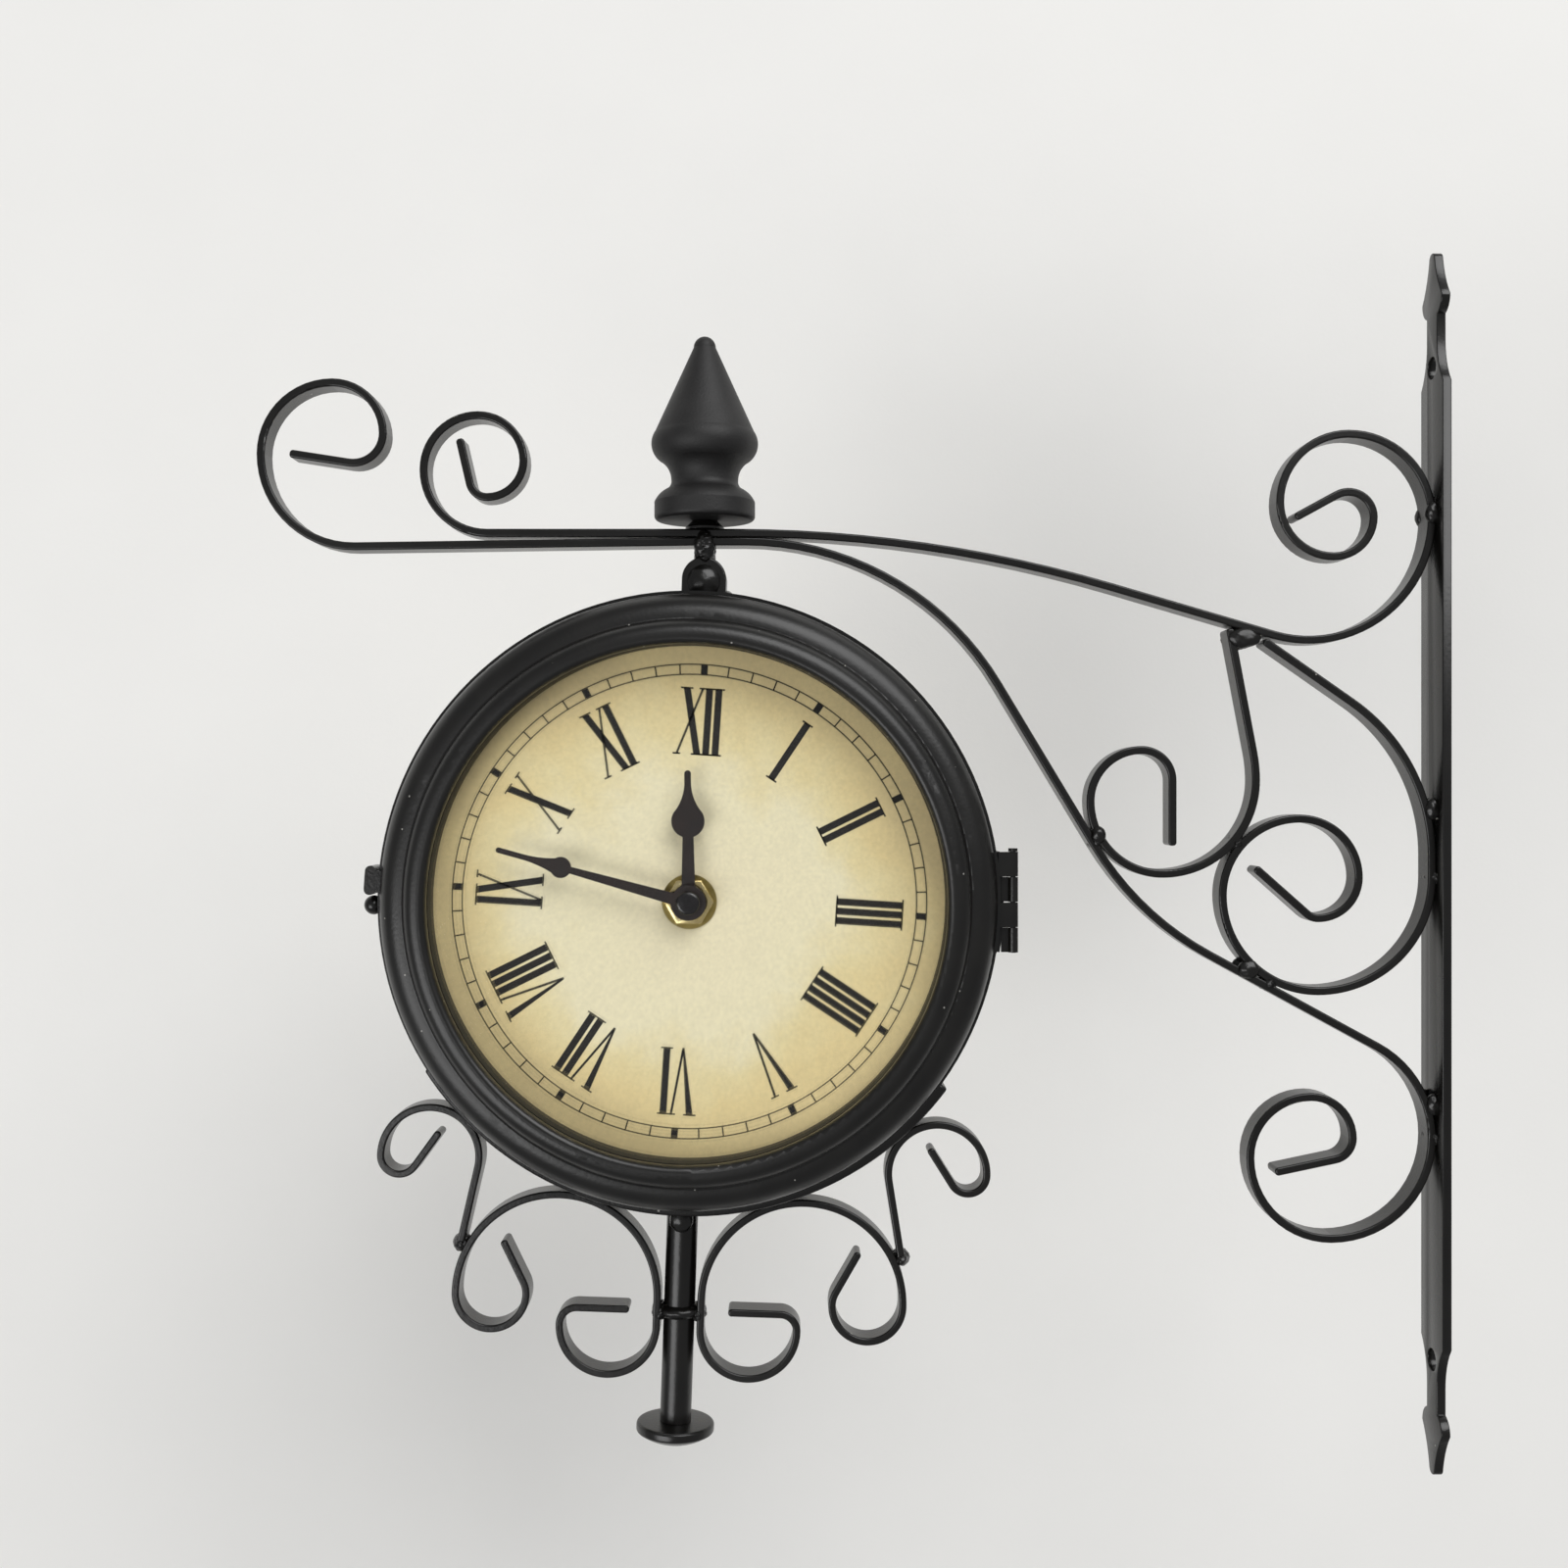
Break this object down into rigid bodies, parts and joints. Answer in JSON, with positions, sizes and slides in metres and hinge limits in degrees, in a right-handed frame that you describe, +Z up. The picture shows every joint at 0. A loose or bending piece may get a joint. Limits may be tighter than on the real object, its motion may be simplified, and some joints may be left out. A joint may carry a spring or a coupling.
{
  "type": "wall clock",
  "caption": "Double-sided wall clock on a scrolled black iron bracket, with glazed hinged doors, cream Roman dials, hands and quartz movements",
  "frame": {"origin": "on the wall bar's back face, midway between its two screw holes", "axes": "+X points out of the back of the bar into the wall, the clock hangs towards -X, the front dial faces -Y, +Z is up"},
  "size_m": [0.3192, 0.0722, 0.33],
  "materials": {
    "black_iron": "satin black paint",
    "finial_black": "matt black paint",
    "glass": "clear, flat",
    "dial_paper": "printed cream board, aged at the edge",
    "movement_plastic": "moulded black plastic",
    "hand_black": "brownish black paint",
    "brass": "bright",
    "steel": "zinc plated",
    "battery_label": "plain sleeve",
    "rubber": "matt"
  },
  "bodies": {
    "bracket": {"batteries": "battery_label", "battery_contacts": "steel", "bracket_welds": "black_iron", "brass_washers": "brass", "case_drum": "black_iron", "cradle_strap": "black_iron", "dial_nuts": "brass", "dial_screws": "steel", "dial_seats": "black_iron", "dial_stems": "brass", "finial": "finial_black", "finial_collar": "black_iron", "front_case_leaf": "black_iron", "front_dial": "dial_paper", "front_hinge_pin": "black_iron", "front_latch_stud": "black_iron", "front_movement": "movement_plastic", "hanger_bolt": "black_iron", "hanger_lug": "black_iron", "heart_scroll_strip": "black_iron", "left_inner_scroll": "black_iron", "left_outer_scroll": "black_iron", "lower_brace_strip": "black_iron", "ornament_welds": "black_iron", "pendant_post": "black_iron", "post_foot": "black_iron", "rear_case_leaf": "black_iron", "rear_dial": "dial_paper", "rear_hinge_pin": "black_iron", "rear_latch_stud": "black_iron", "rear_movement": "movement_plastic", "right_inner_scroll": "black_iron", "right_outer_scroll": "black_iron", "rubber_washers": "rubber", "small_scroll_strip": "black_iron", "upper_arm_strip": "black_iron", "wall_bar": "black_iron"},
    "front_door": {"front_bezel": "black_iron", "front_glass": "glass", "front_glass_ring": "black_iron", "front_door_leaf": "black_iron", "front_latch_tab": "black_iron"},
    "front_minute": {"front_minute_arbor": "brass", "front_minute_hand": "hand_black", "front_hand_cap": "hand_black"},
    "front_hour": {"front_hour_pipe": "brass", "front_hour_hand": "hand_black"},
    "front_knob": {"front_setting_knob": "movement_plastic"},
    "rear_door": {"rear_bezel": "black_iron", "rear_glass": "glass", "rear_glass_ring": "black_iron", "rear_door_leaf": "black_iron", "rear_latch_tab": "black_iron"},
    "rear_minute": {"rear_minute_arbor": "brass", "rear_minute_hand": "hand_black", "rear_hand_cap": "hand_black"},
    "rear_hour": {"rear_hour_pipe": "brass", "rear_hour_hand": "hand_black"},
    "rear_knob": {"rear_setting_knob": "movement_plastic"}
  },
  "joints": [
    {"name": "front_door_hinge", "type": "hinge", "parent": "bracket", "child": "front_door", "pos_m": [-0.1188, -0.024, -0.0087], "axis": [0, 0, 1], "range_deg": [0, 115]},
    {"name": "front_minute_turn", "type": "hinge", "parent": "bracket", "child": "front_minute", "pos_m": [-0.202, 0, -0.0087], "axis": [0, 1, 0], "continuous": true},
    {"name": "front_hour_turn", "type": "hinge", "parent": "bracket", "child": "front_hour", "pos_m": [-0.202, 0, -0.0087], "axis": [0, 1, 0], "continuous": true},
    {"name": "front_knob_turn", "type": "hinge", "parent": "bracket", "child": "front_knob", "pos_m": [-0.192, 0, -0.0007], "axis": [0, 1, 0], "continuous": true},
    {"name": "rear_door_hinge", "type": "hinge", "parent": "bracket", "child": "rear_door", "pos_m": [-0.2852, 0.024, -0.0087], "axis": [0, 0, 1], "range_deg": [0, 115]},
    {"name": "rear_minute_turn", "type": "hinge", "parent": "bracket", "child": "rear_minute", "pos_m": [-0.202, 0, -0.0087], "axis": [0, -1, 0], "continuous": true},
    {"name": "rear_hour_turn", "type": "hinge", "parent": "bracket", "child": "rear_hour", "pos_m": [-0.202, 0, -0.0087], "axis": [0, -1, 0], "continuous": true},
    {"name": "rear_knob_turn", "type": "hinge", "parent": "bracket", "child": "rear_knob", "pos_m": [-0.212, 0, -0.0007], "axis": [0, -1, 0], "continuous": true}
  ],
  "couplings": [
    {"joint": "front_hour_turn", "follows": "front_minute_turn", "ratio": 0.083333},
    {"joint": "front_knob_turn", "follows": "front_minute_turn", "ratio": -0.33333},
    {"joint": "rear_hour_turn", "follows": "rear_minute_turn", "ratio": 0.083333},
    {"joint": "rear_knob_turn", "follows": "rear_minute_turn", "ratio": -0.33333}
  ]
}
